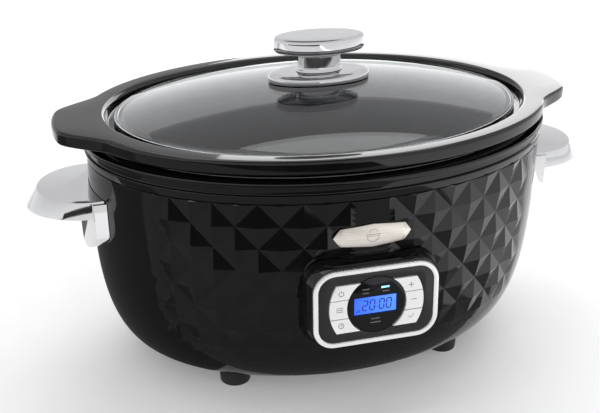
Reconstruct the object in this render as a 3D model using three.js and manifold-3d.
// Oval countertop slow cooker: an insulated base with a heating well, a removable stoneware crock,
// a glass lid with a chrome knob, two chrome side handles and a tilted control panel.
// Millimetres, +Z up, front at -Y. The origin is on the tabletop under the middle of the bounding box.
import * as THREE from "three";
import { mergeVertices } from "three/addons/utils/BufferGeometryUtils.js";
import Module from "manifold-3d";

const wasm = await Module();
wasm.setup();

// ---- driving dimensions ----
const sides = 36; // facets round each oval
const gap = 0.3; // clearance where two pieces meet
// The panel reaches further forward than the back wall, so the ovals sit behind the origin.
const ovalCentreY = 6.7;

const shellTop = { z: 162.5, a: 173, b: 124 }; // half-axes of the housing under its collar
const shellBottom = { z: 8.8, a: 129, b: 84 };
const shellCurve = 3.83; // how suddenly the walls turn under
const shellRound = 2.11; // how round the turn is
const shellWall = 2;

const collarTop = 177.5;
const rimTop = 192.1; // top face of the crock's rim
const rimBottom = 182;
const rim = { a: 175, b: 123.9 };

const lidEdge = { a: 151.5, b: 107, z: 189.3 };
const lidRise = 18.7;
const glassThickness = 4;
const lidSeat = 184.6;

const capTop = 240;
const capBottom = 228.3;
const stemBottom = 213.5;

const shelfTop = 143.4; // flat top of each side handle
const shelfBottom = 131.4;
const shelfCentreX = 172;
const legLow = 98.5; // bottom of the handle's round ended leg
const legTurn = 120; // where its straight sides end
const legHalf = 39.5;
const flareReach = 8.5; // how far the shelf's lower edge stands out past its top

const panelPoint = new THREE.Vector3(0, -136.5, 91.3); // middle of the panel's face
const panelLean = THREE.MathUtils.degToRad(3.2);
const bezelHalf = [44, 28];
const bezelCorner = 15;
const bezelWidth = 3.5;
const keyRise = 1.2;
const keyInner = 21;
const keyOuter = 33.2;
const keyHalfHeight = 17.5;
const keySplit = 6.9;
const windowRadius = 20.4;

const footAt = [83, 64.5];
const footRadius = 12;
const coverScrewAt = [97, 30.5];
const handleScrew = { y: 15, z: 124 };

// ---- materials ----
function paint(color, roughness, metalness = 0) {
  return new THREE.MeshStandardMaterial({ color, roughness, metalness });
}
const glossBlack = paint(0x0b0b0c, 0.12);
const stoneware = paint(0x101011, 0.1);
const glass = paint(0xb8bcc0, 0.04);
glass.transparent = true;
glass.opacity = 0.35;
const chrome = paint(0xd8d9db, 0.08, 1);
const satinSilver = paint(0xb9babd, 0.3, 1);
const keySilver = paint(0xcfd0d2, 0.35, 0.6);
const facePlastic = paint(0x111112, 0.25);
const liquidCrystal = paint(0x2a55ff, 0.3);
const cyanLight = paint(0x3fe0ff, 0.3);
const rubber = paint(0x161616, 0.8);
const aluminium = paint(0xa8aaad, 0.35, 1);
const steel = paint(0x9a9ca0, 0.4, 1);
const fibre = paint(0xd9d3c4, 0.95);
const boardGreen = paint(0x1d5a34, 0.6);
const blackPart = paint(0x1a1a1a, 0.5);
const silicone = paint(0xd0cfca, 0.7);

// ---- solids ----
const cooker = new THREE.Group();
cooker.position.y = ovalCentreY;

// Signed volume of a closed mesh, used to turn a shape that was wound inside out.
function volumeOf(geometry) {
  const position = geometry.getAttribute("position");
  const index = geometry.getIndex();
  const corner = [0, 1, 2].map(() => new THREE.Vector3());
  let six = 0;
  for (let i = 0; i < index.count; i += 3) {
    corner.forEach((point, j) => point.fromBufferAttribute(position, index.getX(i + j)));
    six += corner[0].dot(corner[1].cross(corner[2]));
  }
  return six / 6;
}

function closed(geometry) {
  const bare = geometry.clone();
  bare.deleteAttribute("normal");
  bare.deleteAttribute("uv");
  bare.clearGroups();
  const merged = mergeVertices(bare, 1e-4);
  if (volumeOf(merged) < 0) {
    const index = merged.getIndex();
    for (let i = 0; i < index.count; i += 3) {
      const second = index.getX(i + 1);
      index.setX(i + 1, index.getX(i + 2));
      index.setX(i + 2, second);
    }
  }
  return merged;
}

function toSolid(geometry) {
  const merged = closed(geometry);
  const vertProperties = new Float32Array(merged.getAttribute("position").array);
  const triVerts = new Uint32Array(merged.getIndex().array);
  return new wasm.Manifold(new wasm.Mesh({ numProp: 3, vertProperties, triVerts }));
}

function fromSolid(solid) {
  const mesh = solid.getMesh();
  const geometry = new THREE.BufferGeometry();
  geometry.setAttribute("position", new THREE.BufferAttribute(mesh.vertProperties, 3));
  geometry.setIndex(new THREE.BufferAttribute(mesh.triVerts, 1));
  return geometry;
}

function combined(operation, body, others) {
  return fromSolid(others.reduce((left, other) => left[operation](toSolid(other)), toSolid(body)));
}
const cut = (body, ...tools) => combined("subtract", body, tools);
const join = (body, ...others) => combined("add", body, others);
const common = (body, ...others) => combined("intersect", body, others);

function add(name, geometry, material, parent = cooker) {
  const mesh = new THREE.Mesh(closed(geometry), material);
  mesh.name = name;
  parent.add(mesh);
  return mesh;
}

// An oval turned form. Each profile point is [half-width along X, half-depth along Y, height].
function oval(profile, facets = sides) {
  const points = profile.map(([, b, z]) => new THREE.Vector2(b, z));
  const geometry = new THREE.LatheGeometry(points, facets);
  geometry.rotateX(Math.PI / 2);
  const position = geometry.getAttribute("position");
  for (let i = 0; i < position.count; i += 1) {
    const [a, b] = profile[i % profile.length];
    if (b > 0) position.setX(i, (position.getX(i) * a) / b);
  }
  return geometry;
}

const closeLoop = (profile) => [...profile, profile[0]];
function ovalDisc(a, b, low, high, facets = sides) {
  return oval([[0, 0, low], [a, b, low], [a, b, high], [0, 0, high]], facets);
}
const disc = (r, low, high, facets = 20) => ovalDisc(r, r, low, high, facets);
const box = (x, y, z, at) => new THREE.BoxGeometry(x, y, z).translate(...at);

// A round bar along +X, from x = low to x = high.
function barX(r, low, high, y, z, facets = 16) {
  return disc(r, low, high, facets).rotateY(Math.PI / 2).translate(0, y, z);
}

// ---- the housing's outer form ----
function shellRing(z) {
  const depth = Math.min(1, (shellTop.z - z) / (shellTop.z - shellBottom.z));
  const inset = 1 - (1 - depth ** shellCurve) ** (1 / shellRound);
  const a = shellTop.a - inset * (shellTop.a - shellBottom.a);
  const b = shellTop.b - inset * (shellTop.b - shellBottom.b);
  return [a, b, z];
}

// The same form moved outward (or inward, if negative) along its surface.
function shellProfile(outward) {
  const heights = [shellTop.z, 112, 84, 62, 45, 31, 20, 12.2, shellBottom.z];
  return heights.map((z) => {
    const [a, b] = shellRing(z);
    const above = shellRing(Math.min(z + 0.5, shellTop.z));
    const below = shellRing(Math.max(z - 0.5, shellBottom.z));
    const slope = above[0] - below[0];
    const length = Math.hypot(1, slope);
    return [a + outward / length, b + outward / length, z - (outward * slope) / length];
  });
}

function shellSolid(outward) {
  const rings = shellProfile(outward);
  return oval([[0, 0, shellTop.z], ...rings, [0, 0, rings[rings.length - 1][2]]]);
}

// ---- panel frame: local X to the right, Y up the panel, Z out of its face ----
const panelMatrix = new THREE.Matrix4().makeRotationX(Math.PI / 2 - panelLean).setPosition(panelPoint);

function roundedRect(x, y, r, ShapeType = THREE.Shape) {
  const shape = new ShapeType();
  shape.moveTo(-x + r, -y);
  shape.absarc(x - r, -y + r, r, -Math.PI / 2, 0);
  shape.absarc(x - r, y - r, r, 0, Math.PI / 2);
  shape.absarc(-x + r, y - r, r, Math.PI / 2, Math.PI);
  shape.absarc(-x + r, -y + r, r, Math.PI, 1.5 * Math.PI);
  return shape;
}

function slab(shape, low, high, curveSegments = 4) {
  const options = { depth: high - low, bevelEnabled: false, curveSegments };
  return new THREE.ExtrudeGeometry(shape, options).translate(0, 0, low);
}

const onPanel = (geometry) => geometry.applyMatrix4(panelMatrix);

// ---- base: housing ----
const housingOuter = shellProfile(0);
const coverOpening = [106, 56];
let housing = oval(closeLoop([
  ...housingOuter,
  [...coverOpening, shellBottom.z],
  [...coverOpening, shellBottom.z + shellWall],
  ...shellProfile(-shellWall).reverse(),
]));
const panelPassage = onPanel(slab(roundedRect(33, 18, 8), -34, -2));
const glandAt = { y: 109, z: 33, r: 8 };
const glandHole = disc(glandAt.r, 90, 130).rotateX(-Math.PI / 2).translate(0, 0, glandAt.z);
const handleHoles = [-1, 1].flatMap((end) => [-1, 1].map((side) => {
  const low = end > 0 ? 160 : -185;
  return barX(2.4, low, low + 25, side * handleScrew.y, handleScrew.z, 8);
}));
// The same place in each of the four quarters.
const inQuarters = ([x, y]) => [-1, 1].flatMap((front) => [-1, 1].map((side) => [side * x, front * y]));
const footPlaces = inQuarters(footAt);
const coverPlaces = inQuarters(coverScrewAt);
const pin = (r, low, high, [x, y], facets = 8) => disc(r, low, high, facets).translate(x, y, 0);
housing = cut(
  housing, panelPassage, glandHole, ...handleHoles,
  ...footPlaces.map((at) => pin(2.2, 4, 20, at)),
  ...coverPlaces.map((at) => pin(1.9, 4, 14, at)),
);
add("outer_housing", housing, glossBlack);

// ---- base: collar round the mouth of the well ----
const collar = oval(closeLoop([
  [173, 124, 162.8],
  [174.2, 125.2, 168.5],
  [172.4, 123.4, 169.5],
  [172.4, 123.4, 173.4],
  [175, 126, 174.4],
  [175, 126, 176.4],
  [173.4, 124.4, collarTop],
  [161.8, 115.6, collarTop],
  [161.8, 115.6, 176],
  [155.2, 110, 176],
  [155.2, 110, 174],
  [168.8, 119.8, 174],
  [168.8, 119.8, 157],
  [170.6, 121.6, 157],
  [170.6, 121.6, 162.8],
]));
add("rim_collar", collar, glossBlack);

// ---- base: heating well with its heater and insulation ----
const wellLow = { a: 139, b: 94, z: 55 };
const wellHigh = { a: 152.5, b: 107.5, z: 176 };
const wellWall = 1.2;
function wellRing(z, outward) {
  const t = (z - wellLow.z) / (wellHigh.z - wellLow.z);
  const a = wellLow.a + t * (wellHigh.a - wellLow.a);
  const b = wellLow.b + t * (wellHigh.b - wellLow.b);
  return [a + outward, b + outward, z];
}
const sleeve = (inner, outer, low, high) => oval(closeLoop([
  wellRing(low, inner), wellRing(low, outer), wellRing(high, outer), wellRing(high, inner),
]));
const well = oval([
  [0, 0, 40],
  [122, 77, 40],
  [134, 89, 44.5],
  wellRing(wellLow.z, 0),
  wellRing(wellHigh.z, 0),
  [154, 109, collarTop],
  [161.4, 114.9, collarTop],
  [161.4, 114.9, 176.3],
  [154, 109, 176.3],
  wellRing(175, wellWall),
  wellRing(wellLow.z, wellWall),
  [135, 90, 43.4],
  [122.4, 77.4, 40 - wellWall],
  [0, 0, 40 - wellWall],
]);
add("heating_well", well, aluminium);
add("heater_band", sleeve(1.6, 3.6, 58, 96), steel);
add("insulation_wrap", sleeve(4, 10, 54, 112), fibre);

// ---- base: underside ----
const coverTop = shellBottom.z - gap;
const coverBottom = coverTop - 1.8;
const boltRadius = 2.5;
const bottomCover = cut(
  ovalDisc(118, 66, coverBottom, coverTop),
  disc(boltRadius + 0.3, 0, 12),
  ...coverPlaces.map((at) => pin(1.9, 0, 12, at)),
);
add("bottom_cover", bottomCover, steel);
coverPlaces.forEach((at, i) => {
  const head = pin(3.4, coverBottom - 2, coverBottom - 0.1, at, 12);
  add(`cover_screw_${i + 1}`, join(head, pin(1.5, coverBottom - 1, 13.5, at)), steel);
});
const boltTop = 40 - wellWall - 0.1;
add("tie_bolt", join(disc(8, boltTop - 2.4, boltTop), disc(boltRadius, 3, boltTop - 1)), steel);
const nut = disc(5, coverBottom - 3.9, coverBottom - 0.1, 6);
add("tie_nut", cut(nut, disc(boltRadius + 0.2, 0, 12)), steel);

const shellKeepOut = shellSolid(gap);
footPlaces.forEach((at, i) => {
  const body = disc(footRadius, 0, 26, 20).translate(at[0], at[1], 0);
  const recess = pin(4.4, -1, 4.4, at, 12);
  const name = `${at[1] < 0 ? "front" : "rear"}_${at[0] < 0 ? "left" : "right"}`;
  add(`foot_${name}`, cut(body, shellKeepOut, recess, pin(2.1, 0, 26, at)), rubber);
  add(`foot_screw_${i + 1}`, join(pin(3.9, 1.6, 4.1, at, 12), pin(1.8, 3, 16, at)), steel);
});

// ---- base: electrical parts under and beside the well ----
add("power_board", box(62, 52, 1.6, [-48, 0, 17]), boardGreen);
add("power_relay", box(19, 15, 15, [-66, 12, 25.6]), blackPart);
add("power_transformer", box(24, 21, 16, [-38, -12, 26.1]), steel);
add("temperature_sensor", disc(5, 31, 38.5, 16).translate(40, 0, 0), steel);
add("thermal_fuse", barX(2.6, 58, 74, 0, 35.6, 12), steel);

const gland = cut(
  join(
    disc(glandAt.r - 0.3, 104, 112.5, 20).rotateX(-Math.PI / 2),
    disc(11, 111.6, 116.5, 20).rotateX(-Math.PI / 2),
  ).translate(0, 0, glandAt.z),
  disc(3.6, 90, 130, 14).rotateX(-Math.PI / 2).translate(0, 0, glandAt.z),
);
add("cord_gland", cut(gland, glandKeepOut()), blackPart);

// The gland's flange lies against the curved wall; only its neck passes through the hole.
function glandKeepOut() {
  const neckRoom = disc(glandAt.r - 0.2, 90, 130).rotateX(-Math.PI / 2).translate(0, 0, glandAt.z);
  return cut(shellSolid(gap), neckRoom);
}

// ---- base: side handles ----
// Side view of a handle: a flat shelf that curves down into a leg lying against the housing.
const handleSide = new THREE.Shape();
handleSide.moveTo(150, shelfTop);
handleSide.lineTo(220, shelfTop);
handleSide.lineTo(220, shelfBottom);
handleSide.lineTo(192, shelfBottom);
handleSide.quadraticCurveTo(183, 130.5, 181.4, legTurn);
handleSide.quadraticCurveTo(180.6, 104, 175, legLow);
handleSide.lineTo(150, legLow);

function flaredShelf() {
  const top = [38, 37];
  const low = [top[0] + flareReach, top[1] + 0.3 * flareReach];
  const profile = [
    [0, 0, 80], [...low, 80], [...low, shelfBottom], [...top, shelfTop - 0.8],
    [top[0] - 0.9, top[1] - 0.9, shelfTop], [0, 0, shelfTop],
  ];
  return oval(profile, 32).translate(shelfCentreX, 0, 0);
}

const legFront = new THREE.Shape();
legFront.moveTo(-legHalf, 150);
legFront.lineTo(-legHalf, legTurn);
legFront.absellipse(0, legTurn, legHalf, legTurn - legLow, Math.PI, 2 * Math.PI);
legFront.lineTo(legHalf, 150);

const handleBlank = common(
  slab(handleSide, -46, 46, 5).rotateX(Math.PI / 2),
  slab(legFront, 140, 225, 10).rotateX(Math.PI / 2).rotateZ(Math.PI / 2),
  join(flaredShelf(), box(44, 2 * legHalf, 90, [160, 0, 110])),
);
const handleBores = [-1, 1].map((side) => barX(2.1, 150, 178, side * handleScrew.y, handleScrew.z, 8));
const handle = cut(handleBlank, shellKeepOut, ...handleBores);
add("handle_right", handle, chrome);
add("handle_left", handle.clone().rotateZ(Math.PI), chrome);
[1, -1].forEach((end, i) => [-1, 1].forEach((side, j) => {
  const head = barX(4, 163.5, 166.6, side * handleScrew.y, handleScrew.z, 12);
  const screw = join(head, barX(1.8, 165, 176, side * handleScrew.y, handleScrew.z, 8));
  add(`handle_screw_${2 * i + j + 1}`, end > 0 ? screw : screw.rotateZ(Math.PI), steel);
}));

// ---- base: control panel ----
const podFront = -2.2;
const podSpread = 4.5;
const pocketDepth = -9.5;
const podBlank = new THREE.ExtrudeGeometry(roundedRect(44.4, 28.4, bezelCorner), {
  depth: 14, bevelThickness: 14, bevelSize: podSpread, bevelSegments: 1, curveSegments: 4,
}).translate(0, 0, podFront - 28);
const pocket = slab(roundedRect(38, 22.4, 10), pocketDepth, 4);
const rearPassage = slab(roundedRect(32, 17, 8), -40, -8);
const podHoles = [onPanel(pocket), onPanel(rearPassage)];
add("panel_pod", cut(onPanel(podBlank), shellKeepOut, ...podHoles), glossBlack);

const bezelShape = roundedRect(...bezelHalf, bezelCorner);
const bezelInner = bezelHalf.map((half) => half - bezelWidth);
bezelShape.holes.push(roundedRect(...bezelInner, bezelCorner - bezelWidth, THREE.Path));
add("panel_bezel", onPanel(slab(bezelShape, podFront + gap, 1.2)), satinSilver);

// The face opening is the round window joined to the two banks of keys.
function faceOpening(clearance) {
  const path = new THREE.Path();
  const r = windowRadius + clearance;
  const outer = keyOuter + clearance;
  const top = keyHalfHeight + clearance;
  path.absarc(0, 0, r, Math.asin(top / r), Math.PI - Math.asin(top / r));
  path.absarc(0, 0, outer, Math.PI - Math.asin(top / outer), Math.PI + Math.asin(top / outer));
  path.absarc(0, 0, r, Math.PI + Math.asin(top / r), 2 * Math.PI - Math.asin(top / r));
  path.absarc(0, 0, outer, -Math.asin(top / outer), Math.asin(top / outer));
  path.closePath();
  return path;
}
const facia = roundedRect(40.2, 24.2, 11.3);
facia.holes.push(faceOpening(0.5));
add("panel_facia", onPanel(slab(facia, podFront + gap, 0, 7)), facePlastic);

const ledAt = [6.3, 12.1];
const ledHole = (grow) => box(6 + grow, 1.6 + grow, 30, [...ledAt, -8]);
add("display_window", onPanel(cut(disc(windowRadius, -4, 0, 28), ledHole(0.6))), facePlastic);
add("indicator_led", onPanel(box(6, 1.6, 9.4, [...ledAt, -5])), cyanLight);
const keypadBottom = -5.6;
const keypad = slab(roundedRect(36, 21, 6), keypadBottom, -4.3);
add("keypad_sheet", onPanel(cut(keypad, box(34, 18, 8, [0, -0.4, -5]), ledHole(0.6))), silicone);
add("lcd_module", onPanel(box(32.6, 16.6, 5.5, [0, -0.4, -7.05])), liquidCrystal);
add("control_board", onPanel(slab(roundedRect(31.4, 16.4, 7.4), -11.7, -10.1)), boardGreen);

// Each key is a stretch of a ring between two heights.
function keyShape(side, low, high) {
  const shape = new THREE.Shape();
  const angle = (r, y) => Math.asin(y / r);
  if (side > 0) {
    shape.absarc(0, 0, keyOuter, angle(keyOuter, low), angle(keyOuter, high));
    shape.absarc(0, 0, keyInner, angle(keyInner, high), angle(keyInner, low), true);
  } else {
    shape.absarc(0, 0, keyOuter, Math.PI - angle(keyOuter, high), Math.PI - angle(keyOuter, low));
    shape.absarc(0, 0, keyInner, Math.PI - angle(keyInner, low), Math.PI - angle(keyInner, high), true);
  }
  return shape;
}
const seam = 0.25;
const rows = [
  [keySplit + seam, keyHalfHeight],
  [-keySplit + seam, keySplit - seam],
  [-keyHalfHeight, -keySplit - seam],
];
const keyNames = {
  "-1": ["key_power", "key_mode", "key_timer"],
  "1": ["key_plus", "key_minus", "key_enter"],
};
[-1, 1].forEach((side) => rows.forEach(([low, high], row) => {
  add(keyNames[side][row], onPanel(slab(keyShape(side, low, high), -3.2, keyRise, 5)), keySilver);
}));

// ---- base: name badge ----
const badge = { x: 27, inner: 22.5, centre: 137.5, tallEnd: 6.4, tallMiddle: 8.4 };
const badgeShape = new THREE.Shape([
  [-badge.x, 0], [-badge.inner, -badge.tallEnd], [0, -badge.tallMiddle], [badge.inner, -badge.tallEnd],
  [badge.x, 0], [badge.inner, badge.tallEnd], [0, badge.tallMiddle], [-badge.inner, badge.tallEnd],
].map(([x, z]) => new THREE.Vector2(x, badge.centre + z)));
const badgeBlank = slab(badgeShape, 110, 135).rotateX(Math.PI / 2);
add("name_badge", cut(common(badgeBlank, shellSolid(2)), shellKeepOut), satinSilver);

// ---- crock ----
const crockBowl = oval([
  [0, 0, 50],
  [112, 67, 50],
  [124, 79, 54],
  [129, 84, 64],
  [143, 98, 180],
  [144, 99, lidSeat],
  [156, 111, lidSeat],
  [157.2, 112.2, 186],
  [157.8, 112.8, 191.2],
  [159.2, 114.3, rimTop],
  [173.2, 122.1, rimTop],
  [rim.a, rim.b, 190.6],
  [rim.a, rim.b, 183.2],
  [173.8, 122.7, rimBottom],
  [165, 117, rimBottom],
  [163, 115.5, collarTop + gap],
  [150.6, 105.6, collarTop + gap],
  [150, 105, 175],
  [136, 91, 62],
  [131, 86, 49],
  [120, 75, 43],
  [0, 0, 43],
]);
// Each lug widens the rim's own outline over a stretch, and dies away towards its ends.
const lugReach = 20;
const lugFlat = 20;
const lugSpan = 50;
const lugSteps = 16;
const lugShape = new THREE.Shape([new THREE.Vector2(161, 25), new THREE.Vector2(161, -25)]);
for (let i = 0; i <= lugSteps; i += 1) {
  const y = -lugSpan + (2 * lugSpan * i) / lugSteps;
  const fade = THREE.MathUtils.smoothstep(Math.abs(y), lugFlat, lugSpan);
  lugShape.lineTo(rim.a * Math.sqrt(1 - (y / rim.b) ** 2) + lugReach * (1 - fade), y);
}
const lug = slab(lugShape, rimBottom, rimTop, 5);
add("crock", join(crockBowl, lug, lug.clone().rotateZ(Math.PI)), stoneware);

// ---- lid ----
function domeAt(t, outward = 0) {
  return [lidEdge.a * t, lidEdge.b * t, lidEdge.z + lidRise * (1 - t * t) + outward];
}
const domeSteps = [0.97, 0.76, 0.52, 0.26];
const lidGlass = oval([
  domeAt(0, -glassThickness),
  ...[...domeSteps].reverse().map((t) => domeAt(t, -glassThickness)),
  [149.8, 105.3, lidSeat + gap],
  [lidEdge.a, lidEdge.b, 186.5],
  [lidEdge.a, lidEdge.b, 188.6],
  [150.6, 106.1, lidEdge.z + 0.4],
  ...domeSteps.map((t) => domeAt(t)),
  domeAt(0),
]);
const screwRadius = 2.5;
add("lid_glass", cut(lidGlass, disc(3.6, 190, 220, 14)), glass);

const domeKeepOut = oval([
  [0, 0, 180],
  [lidEdge.a, lidEdge.b, 180],
  domeAt(1, gap),
  ...domeSteps.map((t) => domeAt(t, gap)),
  domeAt(0, gap),
]);
const knobBore = disc(screwRadius + 0.3, 190, 236.6, 12);
const gasketTop = 209.6;
add("knob_gasket", cut(ovalDisc(30, 14, 200, gasketTop, 24), domeKeepOut, knobBore), silicone);
const knobBase = oval([
  [0, 0, 203], [38.5, 21.5, 203], [38.5, 21.5, 210.6],
  [37.6, 20.6, 212.6], [34.5, 17.6, stemBottom], [0, 0, stemBottom],
], 28);
const gasketRoom = ovalDisc(30.3, 14.3, 200, gasketTop + gap, 24);
add("knob_base", cut(knobBase, domeKeepOut, gasketRoom, knobBore), chrome);
const knobStem = oval([
  [0, 0, stemBottom + gap], [17.5, 9.8, stemBottom + gap], [16.2, 8.8, 215.5],
  [16.2, 8.8, 226.5], [17.5, 9.8, capBottom - gap], [0, 0, capBottom - gap],
], 24);
add("knob_stem", cut(knobStem, knobBore), chrome);
const knobCap = oval([
  [0, 0, capBottom], [30.5, 15.8, capBottom], [33.6, 18.5, 229.4], [34.4, 19.2, 232.5],
  [33.9, 18.8, 238], [31.6, 16.8, capTop], [0, 0, capTop],
], 28);
add("knob_cap", cut(knobCap, knobBore), chrome);
const screwHeadTop = lidEdge.z + lidRise - glassThickness - 2 * gap;
const screwHead = disc(7, screwHeadTop - 3, screwHeadTop, 16);
add("knob_screw", join(screwHead, disc(screwRadius, screwHeadTop - 1, 236, 12)), steel);

export default cooker;
